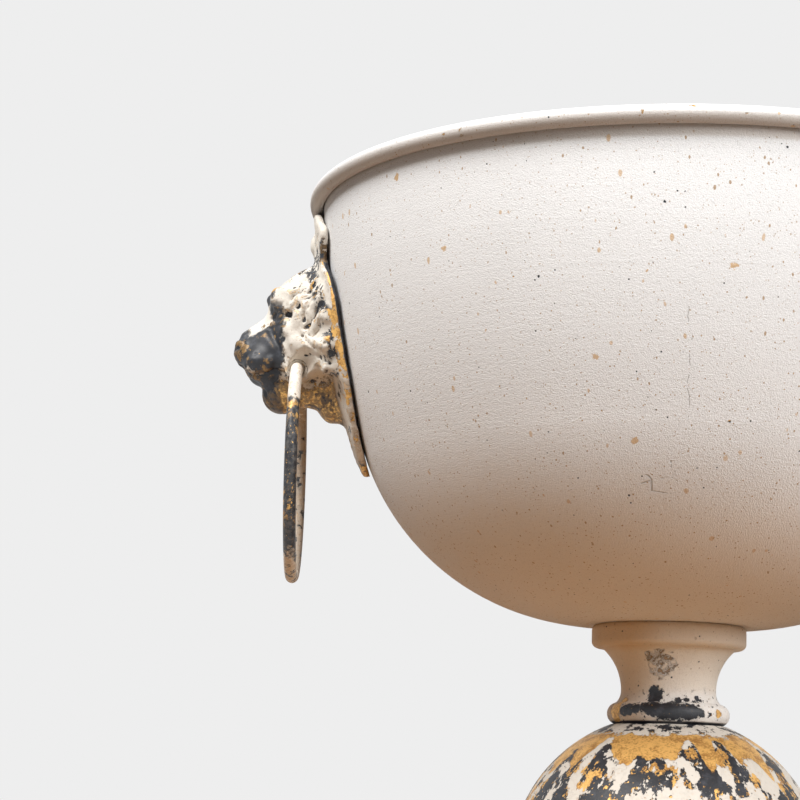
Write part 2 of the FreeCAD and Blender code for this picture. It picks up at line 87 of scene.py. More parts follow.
class MaskSizes(bpy.types.PropertyGroup):
    """Sizes of the carving of the masks."""

    grain: length_property("Carving grain", 0.0007, "Finest form that the carving keeps")
    lump: length_property("Paint lump", 0.0007, "Height of the lumps of thick cream paint")
    fillet: length_property("Fillet", 0.0032, "Rounding between the forms of the head")
    bore_room: length_property("Bore room", 0.0004, "Room between a ring's pin and the carved bore")


class StageSettings(bpy.types.PropertyGroup):
    """Floor, light and camera."""

    backdrop: colour_property("Backdrop", (0.855, 0.855, 0.855), "Colour behind the flowerpot")
    floor_warmth: colour_property("Near floor", (0.25, 0.108, 0.014),
                                  "Colour that the floor near the pot throws up")
    floor_grey: colour_property("Far floor", (0.15, 0.143, 0.136),
                                "Colour that the rest of the floor throws up")
    key: FloatProperty(name="Key light", description="Power of the lamp on the right", unit="POWER",
                       default=45.0)
    fill: FloatProperty(name="Fill light", description="Power of the lamp on the left", unit="POWER",
                        default=71.0)
    sky: FloatProperty(name="Sky", description="Strength of the light from all round", default=0.22)
    lens: FloatProperty(name="Lens", description="Focal length in millimetres", unit="CAMERA",
                        default=103.5)


def settings():
    """The colours of the paint, the sizes of the carving and the stage's settings."""
    scene = bpy.context.scene
    return scene.flowerpot_paint, scene.flowerpot_mask, scene.flowerpot_stage


# Shares of a speck's radius: size and fineness of the wobble of its outline, its least size, its soft edge.
SPECK_WOBBLE = 1.6
SPECK_WOBBLE_FINENESS = 0.35
SPECK_LEAST = 0.35
SPECK_EDGE = 0.35
# Shares of a patch's radius: how far its edge strays, and where its full strength begins.
PATCH_RAGGED = 2.6
PATCH_CORE = 0.82


class Shade:
    """A socket of a material's nodes; arithmetic on it adds Math nodes."""

    def __init__(self, tree, socket=None):
        self.tree = tree
        self.socket = socket

    def node(self, kind, setup=None, sockets=None, output=0):
        """Add a node, set it up, feed its sockets and give back one of its outputs."""
        made = self.tree.nodes.new(kind)
        for name, value in (setup or {}).items():
            setattr(made, name, value)
        for name, value in (sockets or {}).items():
            if isinstance(value, Shade):
                self.tree.links.new(value.socket, made.inputs[name])
            else:
                made.inputs[name].default_value = value
        return Shade(self.tree, made.outputs[output] if made.outputs else None)

    def other(self, output):
        """Another output of the same node."""
        return Shade(self.tree, self.socket.node.outputs[output])

    def math(self, operation, first, second=0.0):
        return self.node("ShaderNodeMath", {"operation": operation}, {0: first, 1: second})

    def __add__(self, other):
        return self.math("ADD", self, other)

    def __sub__(self, other):
        return self.math("SUBTRACT", self, other)

    def __mul__(self, other):
        return self.math("MULTIPLY", self, other)

    def __rsub__(self, other):
        return self.math("SUBTRACT", other, self)

    __radd__ = __add__
    __rmul__ = __mul__

    def most(self, other):
        return self.math("MAXIMUM", self, other)

    def least(self, other):
        return self.math("MINIMUM", self, other)

    def size(self):
        return self.math("ABSOLUTE", self)

    def step(self, low, high):
        """Smooth change from 0 at low to 1 at high."""
        return self.node("ShaderNodeMapRange", {"interpolation_type": "SMOOTHSTEP"},
                         {"Value": self, "From Min": low, "From Max": high})

    def mix(self, low, high):
        """Colour low where this is 0, colour high where it is 1."""
        return self.node("ShaderNodeMix", {"data_type": "RGBA"}, {0: self, 6: low, 7: high}, 2)

    def vector(self, operation, other):
        output = 1 if operation == "DISTANCE" else 0
        return self.node("ShaderNodeVectorMath", {"operation": operation}, {0: self, 1: other}, output)

    def part(self, axis):
        return self.node("ShaderNodeSeparateXYZ", None, {0: self}, axis)

    def noise(self, scale, detail=3.0, roughness=0.5):
        return self.node("ShaderNodeTexNoise", None,
                         {"Vector": self, "Scale": scale, "Detail": detail, "Roughness": roughness})

    def specks(self, scale, radius, share):
        """Scattered round marks of about a radius; share of the places that carry one."""
        rough = self.node("ShaderNodeTexNoise", None,
                          {"Vector": self, "Scale": SPECK_WOBBLE_FINENESS / radius, "Detail": 2.0}, "Color")
        bent = rough.vector("SUBTRACT", (0.5, 0.5, 0.5)).vector("MULTIPLY", (SPECK_WOBBLE * radius,) * 3)
        found = self.node("ShaderNodeTexVoronoi", None, {"Vector": self.vector("ADD", bent), "Scale": scale})
        chance = found.other("Color")
        reach = (SPECK_LEAST + chance.part("Y")) * (radius * scale)
        inside = (reach - found).step(0.0, SPECK_EDGE * radius * scale)
        return inside * chance.part("X").step(1 - share, 1.02 - share)

    def wander(self, pattern, reach):
        """This value made uneven by a pattern that runs round 0.5."""
        return self + (pattern - 0.5) * reach

    def spot(self, place, radius, ragged):
        """A patch round a point, with a ragged edge."""
        away = self.vector("DISTANCE", place)
        return away.wander(ragged, PATCH_RAGGED * radius).step(radius, PATCH_CORE * radius)


def rgb(colour, share=1.0):
    """A colour, darkened to a share, with its alpha."""
    return (*(share * part for part in colour), 1.0)


BUMP_STRENGTH = 0.9
PAINT_GLOSS = 0.35


def paint_material(name, coat):
    """A material whose coat function gives colour, roughness, metal and height in millimetres."""
    material = bpy.data.materials.new(name)
    material.use_nodes = True
    tree = material.node_tree
    tree.nodes.clear()
    place = Shade(tree).node("ShaderNodeTexCoord", None, None, "Object")
    colour, roughness, metal, height = coat(place)
    normal = place.node("ShaderNodeBump", None,
                        {"Height": height, "Distance": MM, "Strength": BUMP_STRENGTH})
    shader = place.node("ShaderNodeBsdfPrincipled", None, {
        "Base Color": colour, "Roughness": roughness, "Metallic": metal, "Normal": normal,
        "Specular IOR Level": PAINT_GLOSS,
    })
    place.node("ShaderNodeOutputMaterial", None, {"Surface": shader})
    return material


def coats(place, cream_on, black_on, cream, flecks):
    """Gold, then black, then cream, each showing where the coats over it have come off."""
    paint = settings()[0]
    dull = (0.55 * place.noise(180.0, 5.0, 0.6) + 0.45 * place.noise(1150.0, 3.0, 0.6)).step(0.43, 0.60)
    gold = dull.mix(rgb(paint.gold), rgb(paint.old_gold))
    # Worn patches of the black: wear, and a bluish painted sheen.
    rubbed_and_sheen = place.noise(240.0, 5.0, 0.65).step(0.45, 0.80)
    black = rubbed_and_sheen.mix(rgb(paint.black), rgb(paint.worn_black_and_sheen))
    under = (black_on * (1 - flecks)).mix(gold, black)
    colour = cream_on.mix(under, cream)
    bare = (1 - cream_on) * (1 - black_on * (1 - flecks))
    roughness = 0.66 * cream_on + (1 - cream_on) * (0.44 + 0.14 * rubbed_and_sheen)
    grain = place.noise(1500.0, 3.0, 0.6)
    height = 0.26 * cream_on + 0.09 * black_on + 0.10 * grain * cream_on + 0.04 * grain
    return colour, roughness, bare * 0.35, height


def turned_place(place, scale_round, scale_up):
    """Texture place that runs round the pot and up it, for streaks and bands; it closes on itself."""
    flat = place.vector("MULTIPLY", (1.0, 1.0, 0.0))
    outward = flat.vector("NORMALIZE", (0.0, 0.0, 0.0)).vector("MULTIPLY", (scale_round,) * 3)
    return outward.vector("ADD", place.vector("MULTIPLY", (0.0, 0.0, scale_up)))


SPOTS_NEAR = 400


def radius_at(node, height):
    """Outer radius of a turned node at a height, from the spots of its own mesh that are nearest."""
    spots = np.array([vertex.co for vertex in NODES[node].data.vertices])
    reach = np.hypot(spots[:, 0], spots[:, 1])
    order = np.argsort(np.abs(spots[:, 2] - height))[:SPOTS_NEAR]
    return float(reach[order].max())


def on_pot(node, turn, height):
    """Point on a turned node, by degrees round from the front and millimetres up."""
    reach = radius_at(node, height * MM)
    angle = math.radians(turn)
    return (reach * math.sin(angle), -reach * math.cos(angle), height * MM)


def spots_of(place, node, patches, ragged):
    """All the patches of a list, as one mask."""
    found = None
    for turn, up, radius in patches:
        here = place.spot(on_pot(node, turn, up), radius * MM, ragged)
        found = here if found is None else found.most(here)
    return found


# Stains on the bowl: degrees round from the front towards +X, height and radius in millimetres.
BOWL_STAINS = [
    (2.3, 240.0, 1.8), (-10.2, 237.5, 1.5), (-18.5, 207.5, 1.4), (-12.8, 177.5, 1.6), (-43.0, 252.0, 1.4),
    (-52.5, 284.0, 1.5), (31.0, 231.0, 1.7), (64.0, 199.0, 1.8), (118.0, 246.0, 1.6), (176.0, 214.0, 1.9),
    (-124.0, 226.0, 1.6), (-154.0, 181.0, 1.5),
]
# Places where short cracks run in the white, in the same measures.
BOWL_CRACKS = [(-8.5, 164.0, 9.0), (74.0, 236.0, 11.0), (150.0, 190.0, 12.0), (-140.0, 246.0, 11.0)]
# Heights on the bowl in metres: where a change begins and where it is full.
BROWN_STAIN_AND_SHADE_BELOW = (0.175, 0.122)
COARSE_BELOW = (0.250, 0.180)
UNDER_LIP_SHADE = (0.2850, 0.2895)
CURL = (0.2860, 0.2880)
LIP = (0.2905, 0.2925)
# The long crack at the front: its place across, how far it strays, its half width, and its two ends.
SPLIT_ACROSS = -0.0094
SPLIT_STRAY = 0.012
SPLIT_WIDTH = (0.00034, 0.00010)
SPLIT_FOOT = (0.183, 0.187)
SPLIT_HEAD = (0.228, 0.224)
CRACK_COLOUR = (0.16, 0.14, 0.12, 1.0)


def bowl_cracks(place, ragged, cloud):
    """Fine cracks in the white: some nets of short ones, and a long one down the front."""
    height = place.part("Z")
    net = place.node("ShaderNodeTexVoronoi", {"feature": "DISTANCE_TO_EDGE"},
                     {"Vector": place.vector("MULTIPLY", (1.0, 1.0, 1.6)), "Scale": 110.0})
    zone = spots_of(place, "bowl", BOWL_CRACKS, cloud)
    broken = place.noise(260.0, 3.0, 0.6).step(0.46, 0.56)
    short = net.wander(ragged, 0.05).step(0.045, 0.010) * zone * broken
    bends = place.vector("MULTIPLY", (0.0, 0.0, 60.0)).noise(1.0, 4.0)
    split = (place.part("X") - SPLIT_ACROSS).wander(bends, SPLIT_STRAY)
    span = height.step(*SPLIT_FOOT) * height.step(*SPLIT_HEAD) * place.part("Y").step(0.0, -0.01)
    return short.most(split.size().step(*SPLIT_WIDTH) * span * broken * 0.8)


def bowl_coat(place):
    """White paint with sandy grain, rust stains, cracks and chips, painted shade under the lip and the rim,
    and browner low down, partly stain and partly painted shade.
    """
    paint = settings()[0]
    height = place.part("Z")
    ragged = place.noise(760.0, 5.0, 0.65)
    broad = place.noise(9.0, 4.0, 0.55)
    cloud = place.noise(38.0, 5.0, 0.6)
    sand = place.noise(2300.0, 2.0, 0.55)
    grit = place.noise(900.0, 3.0, 0.6)
    rings = place.vector("MULTIPLY", (4.0, 4.0, 620.0)).noise(1.0, 3.0, 0.6)
    tall = place.vector("MULTIPLY", (1.0, 1.0, 0.6))
    pits = place.specks(260.0, 0.00032, 0.45)
    chips = place.specks(110.0, 0.00048, 0.40)
    dots = place.specks(480.0, 0.00032, 0.90).most(place.specks(720.0, 0.00024, 0.70) * 0.8)
    brown = tall.specks(270.0, 0.00042, 0.75)
    stain = tall.specks(140.0, 0.00080, 0.80) * 0.8
    stain = stain.most(spots_of(place, "bowl", BOWL_STAINS, ragged))
    cracks = bowl_cracks(place, ragged, cloud)
    coarse = height.step(*COARSE_BELOW)
    lip = height.step(*LIP)
    under_lip_shade = height.step(*UNDER_LIP_SHADE) * (1 - lip)
    facing = place.node("ShaderNodeNewGeometry", None, None, "Normal").part("Z")
    rim_underside_shade = facing.step(0.60, -0.40) * height.step(*CURL)
    white = broad.step(0.35, 0.70).mix(rgb(paint.white), rgb(paint.white, 0.95))
    white = (grit.step(0.52, 0.74) * 0.22).mix(white, rgb(paint.white, 0.70))
    white = (sand.step(0.54, 0.72) * 0.42).mix(white, rgb(paint.white, 0.58))
    # Browner towards the bottom: partly a stain, partly painted warm shade on the underside.
    white = (height.step(*BROWN_STAIN_AND_SHADE_BELOW) * 0.28).mix(white, rgb(paint.rust))
    # Painted shade under the lip and on the underside of the rim's curl.
    white = (under_lip_shade * 0.08).mix(white, rgb(paint.grime_and_shade))
    white = (rim_underside_shade * 0.45).mix(white, rgb(paint.grime_and_shade))
    white = (stain * (0.5 + 0.6 * cloud)).mix(white, rgb(paint.rust))
    white = (brown * 0.80).most(dots * (0.62 + 0.28 * coarse)).mix(white, rgb(paint.rust, 0.62))
    white = (cracks * 0.46).mix(white, CRACK_COLOUR)
    nicks = place.noise(150.0, 5.0, 0.7).step(0.655, 0.680) * lip
    bare = pits.most(chips).most(nicks)
    flecks = place.noise(700.0).step(0.64, 0.70)
    colour, roughness, metal, base = coats(place, 1 - bare, 1.0 - nicks * 0.6, white, flecks)
    relief = base + (0.12 + 0.12 * coarse) * grit + (0.22 + 0.16 * coarse) * sand
    relief = relief + 0.06 * rings + 0.08 * cloud - 0.25 * cracks - 0.10 * chips
    return colour, (roughness + 0.10).least(0.9), metal, relief


# Black patches on the stem: degrees round from the front, height and radius in millimetres.
STEM_PATCHES = [
    (-53.0, 83.2, 2.6), (-46.0, 83.8, 2.8), (-38.0, 84.4, 2.8), (-30.0, 84.8, 3.2), (-24.0, 88.6, 2.8),
    (-22.0, 90.4, 3.4), (-18.0, 84.0, 4.4), (-9.0, 83.6, 4.8), (0.0, 83.4, 5.0), (9.0, 83.4, 4.8),
    (17.0, 83.2, 4.0), (23.0, 83.2, 2.6), (4.0, 87.8, 1.6), (14.0, 88.2, 1.5), (28.0, 88.6, 1.5),
    (96.0, 83.0, 6.0), (170.0, 84.0, 7.0), (-140.0, 84.0, 5.0),
]
# Gold smears on the stem, in the same measures.
STEM_SMEARS = [
    (-67.0, 81.0, 3.4), (-66.0, 84.0, 3.8), (-64.0, 87.0, 3.0), (47.0, 82.5, 2.0), (128.0, 83.5, 4.0),
]
# The large flake on the neck, in the same measures.
STEM_FLAKE = [(-15.0, 102.5, 6.2)]
# Heights on the stem in metres, and the places across where its left side darkens as painted shade. Paler
# paint below is painted light, and the darker collar is painted shade.
STEM_WHITER_BELOW = (0.0945, 0.0880)
STEM_COLLAR = (0.1060, 0.1100)
STEM_SEAT = (0.0794, 0.0788)
STEM_SHADED_SIDE = (-0.002, -0.020)


def stem_coat(place):
    """Cream paint with black patches and gold smears on the bead, a large flake and brown dirt, painted
    shade at the collar and on the left side, and paler paint lower down as painted light.
    """
    paint = settings()[0]
    height = place.part("Z")
    ragged = place.noise(260.0, 6.0, 0.68)
    fine = place.noise(700.0, 4.0, 0.6)
    low = height.step(*STEM_WHITER_BELOW)
    collar = height.step(*STEM_COLLAR)
    patch = spots_of(place, "stem", STEM_PATCHES, ragged)
    smear = spots_of(place, "stem", STEM_SMEARS, ragged)
    scales = place.noise(330.0, 5.0, 0.7)
    flake = spots_of(place, "stem", STEM_FLAKE, ragged)
    peeled = flake * scales.step(0.50, 0.56)
    curled = flake * scales.step(0.42, 0.48) * (1 - peeled)
    worn = ragged.wander(fine, 0.25).step(0.600, 0.625) * low
    seat = height.step(*STEM_SEAT)
    pits = place.specks(300.0, 0.00034, 0.50).most(place.specks(150.0, 0.0005, 0.35))
    cream_on = 1 - patch.most(smear).most(worn).most(seat).most(pits)
    # Painted shade: the collar and the left side darker, with some tone that differs at random.
    shade = collar * 0.26 + place.noise(90.0, 5.0, 0.6).step(0.50, 0.78) * 0.10
    shade = shade + place.part("X").step(*STEM_SHADED_SIDE) * 0.46
    dots = place.specks(430.0, 0.00034, 0.75).most(place.specks(260.0, 0.00050, 0.60) * 0.8)
    sand = place.noise(1700.0, 2.0, 0.55)
    # Paler paint lower down: painted light on the lower stem.
    cream = (low * 0.6).mix(rgb(paint.cream), rgb(paint.white))
    cream = shade.least(0.8).mix(cream, rgb(paint.rust))
    cream = (fine.step(0.56, 0.72) * 0.18).most(dots * 0.6).most(peeled * 0.9).mix(cream, rgb(paint.grime_and_shade))
    cream = (sand.step(0.54, 0.72) * 0.28).mix(cream, rgb(paint.cream, 0.55))
    cream = (curled * 0.7).mix(cream, rgb(paint.white))
    colour, roughness, metal, relief = coats(place, cream_on, 1 - smear, cream, fine.step(0.68, 0.71) * 0.7)
    return colour, roughness, metal, relief + 0.30 * ragged + 0.16 * sand - 0.8 * peeled + 0.5 * curled


# Heights on the foot in metres: the gold band, the rim of cream over it, and the dirt at the ground.
BAND_FOOT = (0.0640, 0.0648)
BAND_HEAD = (0.0738, 0.0732)
FOOT_HEAD = (0.0725, 0.0735)
FOOT_DIRT = (0.030, 0.010)
BAND_DRIPS = 0.040


def foot_coat(place):
    """Cream over black over gold, worn to blotches, with a gold band that drips down the dome."""
    paint = settings()[0]
    height = place.part("Z")
    blots = turned_place(place, 5.6, 60.0).noise(1.0, 7.0, 0.66)
    blots = 0.45 * blots + 0.55 * place.vector("MULTIPLY", (1.0, 1.0, 0.7)).noise(105.0, 7.0, 0.64)
    other = turned_place(place, 6.4, 66.0).vector("ADD", (7.3, 2.1, 4.7)).noise(1.0, 7.0, 0.68)
    other = 0.5 * other + 0.5 * place.vector("ADD", (0.31, 0.17, 0.23)).noise(120.0, 7.0, 0.66)
    ragged = place.noise(190.0, 6.0, 0.68)
    fine = place.noise(700.0, 4.0, 0.6)
    drips = turned_place(place, 5.0, 1.0).noise(1.0, 1.0, 0.4)
    band = height.wander(drips, BAND_DRIPS).wander(ragged, 0.010).step(*BAND_FOOT)
    band = band * height.wander(ragged, 0.009).step(*BAND_HEAD)
    top = height.wander(ragged, 0.006).step(*FOOT_HEAD)
    cream_on = blots.step(0.488, 0.498) * (1 - top)
    cream_on = cream_on.most(top * ragged.step(0.46, 0.49)) * (1 - band)
    cream_on = cream_on * (1 - place.specks(230.0, 0.0006, 0.6) * ragged.step(0.40, 0.50))
    cream_on = cream_on * (1 - place.specks(420.0, 0.00042, 0.55) * blots.step(0.60, 0.52))
    golden = band.most(other.step(0.520, 0.530) * (1 - top))
    chips = fine.step(0.640, 0.660) * ragged.step(0.45, 0.55)
    cream = (fine.step(0.52, 0.72) * 0.20).mix(rgb(paint.cream, 0.80), rgb(paint.rust))
    cream = (place.noise(40.0, 4.0).step(0.45, 0.8) * 0.35).mix(cream, rgb(paint.cream, 0.88))
    cream = (height.step(*FOOT_DIRT) * 0.35 * ragged.step(0.35, 0.6)).mix(cream, rgb(paint.grime_and_shade))
    colour, roughness, metal, relief = coats(place, cream_on, 1 - golden, cream, chips)
    return colour, roughness, metal, relief + 0.25 * ragged


# Outward reaches and heights on a mask in metres: where a change begins and where it is full.
MUZZLE_REACH = (0.1640, 0.1652)
MUZZLE_HEAD = (0.2500, 0.2465)
BRIDGE_SLOPE = 0.58
BRIDGE_LINE = (0.3386, 0.3398)
BRIDGE_BACK = (0.1688, 0.1700)
BRIDGE_FRONT = (0.1815, 0.1800)
BRIDGE_HEAD = (0.2500, 0.2485)
BROW_REACH = (0.1684, 0.1696)
BROW_FOOT = (0.2465, 0.2480)
JAW_LINE = (0.2166, 0.2148)
JAW_FRONT = (0.160, 0.172)
JAW_DROP = 0.006
CREST_FOOT = (0.2660, 0.2635)
CREST_NECK_FOOT = (0.2622, 0.2634)
CREST_NECK_HEAD = (0.2722, 0.2710)
EDGE_STRIP_FOOT = (0.2130, 0.2150)
SEAM_FOOT = (0.2080, 0.2140)
LOW_PLATE = (0.2180, 0.2080)
PLATE_TIP = (0.1835, 0.1818)
# Centimetres off the bowl's wall: the space behind the plate, painted black as shade, the plate's face, the
# head, and the head's root.
GAP_SHADE_STAND = (0.25, 0.21)
FACE_STAND = (0.60, 0.48)
HEAD_STAND = (0.48, 0.60)
ROOT_STAND = (0.40, 0.52)
ROOT_END_STAND = (0.92, 0.76)
# Cream left on the left mask's lip: its middle and its radius in metres.
LIP_STREAK = ((-0.1765, -0.0085, 0.2215), 0.0036)


def mask_coat(place):
    """Thick cream over black over gold; it is off at the muzzle, jaw, plate's edge and creases, with painted
    shade in the hollows and black painted as shade next to the wall.
    """
    paint = settings()[0]
    reach = place.part("X").size()
    height = place.part("Z")
    ragged = place.noise(230.0, 5.0, 0.65)
    fine = place.noise(800.0, 4.0, 0.6)
    slab = place.noise(75.0, 4.0, 0.55)
    ridge, thick, stand, edge = (place.node("ShaderNodeAttribute", {"attribute_name": name}, None, "Fac")
                                 for name in ("ridge", "thick", "stand", "edge"))
    front = reach.wander(ragged, 0.008).wander(slab, 0.010)
    chin = front.step(*MUZZLE_REACH)
    muzzle = chin * height.wander(slab, 0.012).step(*MUZZLE_HEAD)
    bridge = (height + BRIDGE_SLOPE * reach).wander(ragged, 0.005).step(*BRIDGE_LINE)
    bridge = bridge * front.step(*BRIDGE_BACK) * front.step(*BRIDGE_FRONT) * height.step(*BRIDGE_HEAD)
    brow = front.step(*BROW_REACH) * height.step(*BROW_FOOT)
    under = (height + front.step(*JAW_FRONT) * JAW_DROP).wander(ragged, 0.016).wander(slab, 0.014)
    under = under.step(*JAW_LINE) * stand.step(*HEAD_STAND)
    below_crest = height.wander(ragged, 0.012).step(*CREST_FOOT)
    # Black next to the wall on the plate's back: painted shade of the narrow space behind the plate.
    gap_shade = stand.wander(ragged, 0.08).step(*GAP_SHADE_STAND) * below_crest
    strip = edge.step(0.5, 0.7) * (1 - gap_shade) * height.wander(slab, 0.03).step(*EDGE_STRIP_FOOT) * below_crest
    tip = height.wander(ragged, 0.006).step(*PLATE_TIP)
    rub = ridge.step(0.60, 0.72) * ragged.step(0.46, 0.58) * (0.25 + 0.75 * below_crest)
    seam = stand.step(*ROOT_STAND) * stand.step(*ROOT_END_STAND) * height.step(*SEAM_FOOT) * below_crest
    seam = seam * (0.6 * ragged + 0.4 * slab).step(0.510, 0.525)
    neck = height.wander(slab, 0.012)
    neck = neck.step(*CREST_NECK_FOOT) * neck.step(*CREST_NECK_HEAD)
    neck = neck * (0.8 * ragged + 0.2 * fine).step(0.495, 0.515)
    # Hollows of the carving: cream worn off in some, and painted shade in all of them.
    hollow = ridge.step(0.30, 0.12)
    low_plate = height.step(*LOW_PLATE) * stand.step(*FACE_STAND)
    flaked = (ragged.wander(slab, 0.25) - 0.10 * thick + 0.07 * low_plate).step(0.600, 0.615)
    streak = place.spot(*LIP_STREAK, ragged)
    off = under.most(flaked).most(gap_shade).most(strip * ragged.step(0.40, 0.44)).most(tip).most(seam).most(neck)
    cream_on = (1 - muzzle.most(brow)).most(bridge).most(streak) * (1 - off)
    cream_on = cream_on * (1 - hollow * ragged.step(0.46, 0.54)) * (1 - rub * 0.55)
    golden = rub.most(under * ragged.step(0.40, 0.48) * (1 - 0.85 * chin))
    golden = golden.most(flaked * slab.step(0.50, 0.56)).most(strip)
    black_on = 1 - golden * (1 - muzzle * 0.65) * (1 - gap_shade)
    cream = (slab.step(0.40, 0.68) * 0.45).mix(rgb(paint.cream), rgb(paint.cream, 0.76))
    # Painted shade in the hollows, and brown dirt in fine patches.
    cream = (hollow * 0.6 + fine.step(0.56, 0.74) * 0.36).least(0.8).mix(cream, rgb(paint.grime_and_shade))
    flecks = fine.step(0.680, 0.700) * ragged.step(0.50, 0.58)
    colour, roughness, metal, relief = coats(place, cream_on, black_on, cream, flecks)
    # Darker brown under the jaw, where the cream is off.
    under_jaw_dark = under * (1 - cream_on) * fine.step(0.36, 0.54) * 0.80
    colour = under_jaw_dark.mix(colour, rgb(paint.grime_and_shade, 0.5))
    return colour, roughness, metal, relief + 0.22 * ragged * cream_on


# Heights and places across on a ring in metres: its cream ends, and the gold on the inside of its limbs.
RING_HEAD = (0.2035, 0.2055)
RING_FOOT = (0.1440, 0.1400)
RING_FAR_LIMB = (0.004, 0.012)
RING_INSIDE = (0.0445, 0.0430)
RING_MIDDLE = 0.180
RING_MIDDLE_RUN = (0.030, 0.020)


def ring_coat(place):
    """Black worn to gold, with cream left at the head, at the foot and on the far limb, painted shade on the
    far limb, and a pale film with painted sheen on the black.
    """
    paint = settings()[0]
    height = place.part("Z")
    across = place.part("Y").size()
    ragged = place.noise(210.0, 5.0, 0.65)
    long_wear = place.vector("MULTIPLY", (1.0, 1.0, 0.30)).noise(330.0, 5.0, 0.65)
    fine = place.noise(900.0, 4.0, 0.6)
    top = height.wander(ragged, 0.012).step(*RING_HEAD)
    foot = height.wander(ragged, 0.022).step(*RING_FOOT)
    far = place.part("Y").step(*RING_FAR_LIMB) * ragged.step(0.40, 0.46)
    bits = long_wear.wander(fine, 0.2).step(0.680, 0.695)
    cream_on = top.most(foot * long_wear.step(0.40, 0.46)).most(far * 0.9).most(bits * 0.9)
    cream_on = cream_on * (1 - (ragged * 0.5 + long_wear * 0.5).step(0.600, 0.615))
    inner = across.step(*RING_INSIDE) * (height - RING_MIDDLE).size().step(*RING_MIDDLE_RUN)
    golden = long_wear.step(0.645, 0.660).most(inner * ragged.step(0.52, 0.56) * 0.9)
    cream = (fine.step(0.50, 0.70) * 0.5).mix(rgb(paint.cream), rgb(paint.rust))
    # Brown dirt along the wear, and painted shade on the far limb.
    cream = (long_wear.step(0.45, 0.7) * 0.45).most(far * 0.55).mix(cream, rgb(paint.grime_and_shade))
    colour, roughness, metal, relief = coats(place, cream_on, 1 - golden, cream, fine.step(0.63, 0.66) * 0.9)
    # Pale chalky film and painted sheen that grey the black.
    dust_and_sheen = (1 - cream_on) * place.noise(480.0, 5.0, 0.7).step(0.42, 0.66) * 0.45
    colour = dust_and_sheen.mix(colour, rgb(paint.cream, 0.22))
    return colour, roughness, metal, relief + 0.20 * ragged


ZINC_DULL = (0.34, 0.34, 0.35, 1.0)
ZINC_BRIGHT = (0.52, 0.52, 0.53, 1.0)
RUBBER = (0.016, 0.016, 0.017, 1.0)
RUBBER_BLOOM = (0.070, 0.068, 0.064, 1.0)


def steel_coat(place):
    """Dull zinc plate with rust in the corners."""
    paint = settings()[0]
    rusty = place.noise(260.0, 5.0, 0.65).step(0.46, 0.60)
    brushed = place.vector("MULTIPLY", (1.0, 1.0, 14.0)).noise(420.0, 3.0, 0.6)
    zinc = brushed.mix(ZINC_DULL, ZINC_BRIGHT)
    colour = rusty.mix(zinc, rgb(paint.old_gold))
    return colour, 0.34 + 0.40 * rusty, 1 - 0.85 * rusty, 0.08 * rusty + 0.03 * brushed


def gasket_coat(place):
    """Black rubber with pale bloom."""
    bloom = place.noise(300.0, 5.0, 0.6)
    colour = bloom.step(0.45, 0.75).mix(RUBBER, RUBBER_BLOOM)
    return colour, 0.72 + 0.12 * bloom, 0.0, 0.08 * place.noise(1400.0)


def dress(node, material):
    """Give a node of the model its material."""
    mesh = NODES[node].data
    mesh.materials.clear()
    mesh.materials.append(material)


class FLOWERPOT_OT_paint_pot(bpy.types.Operator):
    """Paint the bowl with its rim, the stem and the foot"""

    bl_idname = "flowerpot.paint_pot"
    bl_label = "Paint Pot"

    def execute(self, context):
        dress("bowl", paint_material("bowl_white", bowl_coat))
        dress("stem", paint_material("stem_cream", stem_coat))
        dress("foot", paint_material("foot_cream", foot_coat))
        return {"FINISHED"}


class FLOWERPOT_OT_finish_fixings(bpy.types.Operator):
    """Finish the wire, bolts, washers and gasket"""

    bl_idname = "flowerpot.finish_fixings"
    bl_label = "Finish Fixings"

    def execute(self, context):
        steel = paint_material("zinc_steel", steel_coat)
        for node in ("rim_wire", "centre_bolt", "foot_nut", "bowl_washer", "foot_washer", "mask_screws",
                     "mask_washers"):
            dress(node, steel)
        dress("bowl_gasket", paint_material("gasket_rubber", gasket_coat))
        return {"FINISHED"}


